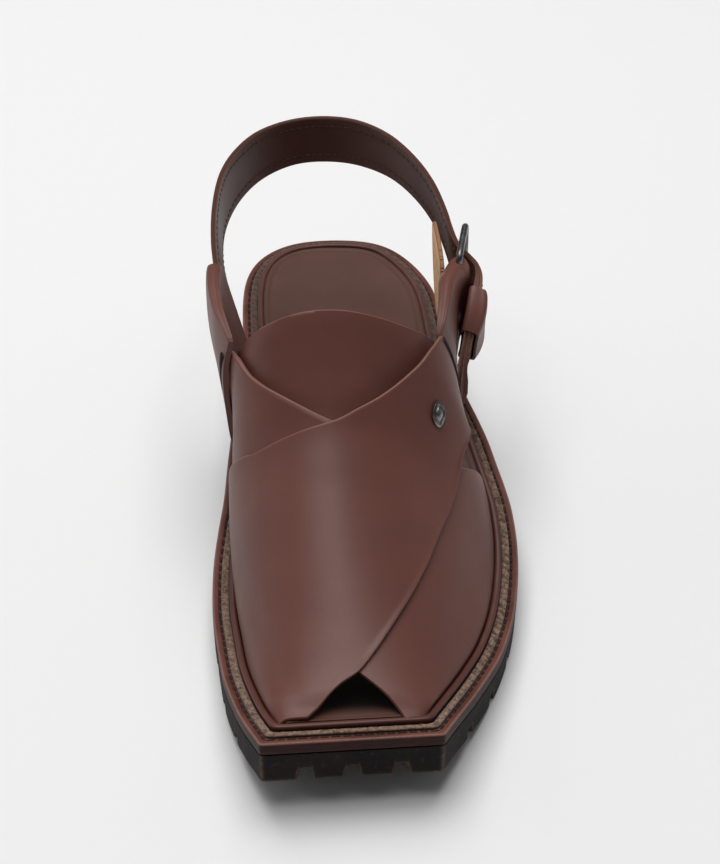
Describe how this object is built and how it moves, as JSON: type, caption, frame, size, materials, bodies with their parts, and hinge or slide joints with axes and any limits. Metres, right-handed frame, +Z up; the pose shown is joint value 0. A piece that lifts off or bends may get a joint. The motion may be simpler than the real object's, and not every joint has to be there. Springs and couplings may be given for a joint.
{
  "type": "peshawari chappal",
  "caption": "Open left sandal: two leather panels crossing over the forefoot, open square toe, buckled heel strap, stitched welt and a wide lugged rubber sole.",
  "frame": {"origin": "middle of the whole shoe's plan, on the floor it stands on", "axes": "+Z up, +Y towards the heel, -Y towards the toe, +X towards the outer side with the buckle"},
  "size_m": [0.1246, 0.3022, 0.1236],
  "materials": {
    "rubber_sole": "near-black brown moulded rubber, matte",
    "welt_leather": "burnished reddish brown edge, stitched",
    "storm_strip": "knurled tan brown strip",
    "rim_leather": "smooth rolled lip",
    "footbed_leather": "smooth mid-brown lining leather",
    "upper_leather": "semi-matte dark reddish brown leather with a soft sheen",
    "strap_leather": "dark reddish brown strap leather, stitched edges",
    "raw_leather": "undyed raw side of leather",
    "buckle_metal": "gunmetal, lightly worn"
  },
  "bodies": {
    "root": {"outsole": "rubber_sole", "welt": "welt_leather", "storm_strip": "storm_strip", "footbed_rim": "rim_leather", "footbed": "footbed_leather", "upper": "upper_leather", "instep_flap": "upper_leather", "ear_inner": "upper_leather", "ear_outer": "upper_leather", "buckle_frame": "buckle_metal", "buckle_prong": "buckle_metal", "heel_strap": "strap_leather", "keeper_loop": "strap_leather", "buckle_tab": "raw_leather", "stud": "buckle_metal"}
  },
  "joints": []
}
